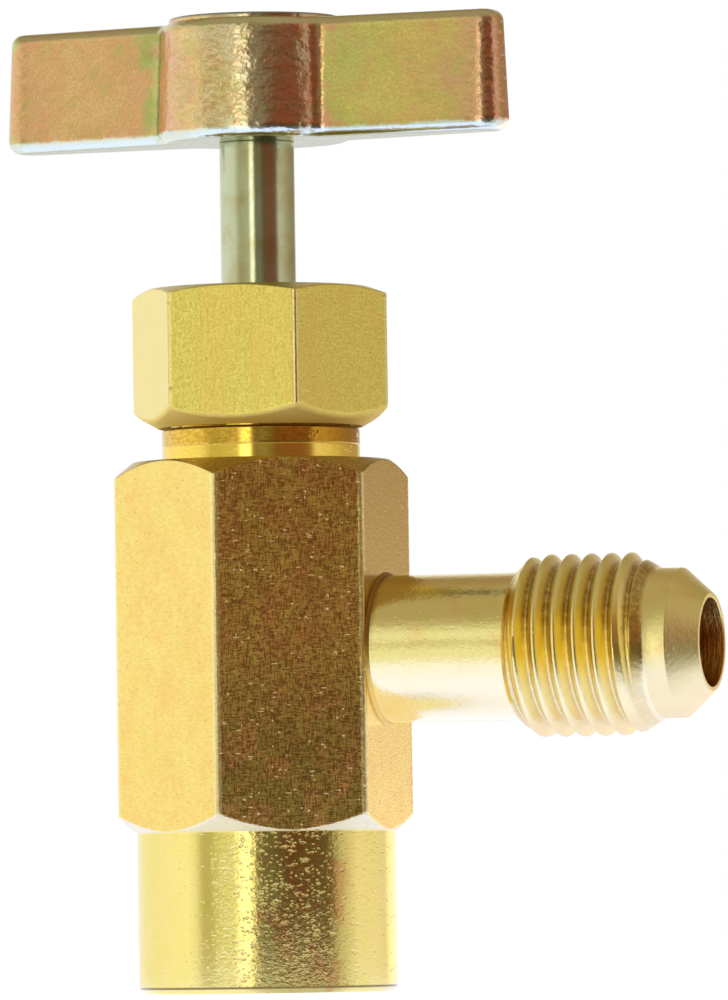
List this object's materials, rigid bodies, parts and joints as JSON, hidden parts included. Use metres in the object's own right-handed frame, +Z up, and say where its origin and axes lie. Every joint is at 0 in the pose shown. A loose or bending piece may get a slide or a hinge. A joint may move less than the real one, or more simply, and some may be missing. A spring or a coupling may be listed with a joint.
{
  "type": "refrigerant can tap valve",
  "caption": "Brass can-piercing flow control valve with hexagonal body, threaded skirt, side flare outlet, gland nut and tee handle.",
  "frame": {"origin": "on the valve axis, on the bottom face of the skirt, at the mouth of the can thread", "axes": "+Z up along the spindle towards the handle, +X along the outlet nipple towards its open end, +Y completes the right-handed set"},
  "size_m": [0.0455, 0.0184, 0.0598],
  "materials": {
    "brass_body": "bright drawn and turned brass",
    "brass_nipple": "bright turned brass",
    "brass_nut": "satin brass",
    "solder": "dull brown solder line",
    "packing": "white packing ring",
    "gasket_rubber": "black moulded rubber",
    "hardened_steel": "ground hardened steel",
    "plated_steel": "zinc plated, faint green-yellow cast",
    "yellow_plated_steel": "yellow zinc plate with green and pink interference colours"
  },
  "bodies": {
    "valve": {"valve_body": "brass_body", "outlet_nipple": "brass_nipple", "braze_ring": "solder", "gland_nut": "brass_nut", "gland_follower": "brass_body", "packing_washer": "brass_body", "packing_ring_lower": "packing", "packing_ring_middle": "packing", "packing_ring_upper": "packing", "can_gasket": "gasket_rubber"},
    "needle_lift": {"piercing_needle": "hardened_steel"},
    "screw": {"spindle": "plated_steel", "t_handle": "yellow_plated_steel"}
  },
  "joints": [
    {"name": "stem_travel", "type": "slide", "parent": "valve", "child": "needle_lift", "axis": [0, 0, 1], "range_m": [-0.0066, 0]},
    {"name": "stem_turn", "type": "hinge", "parent": "needle_lift", "child": "screw", "pos_m": [0, 0, 0.0522], "axis": [0, 0, 1], "range_deg": [-2376, 0]}
  ],
  "couplings": [
    {"joint": "stem_travel", "follows": "stem_turn", "m_per_rad": 0.00015915}
  ]
}
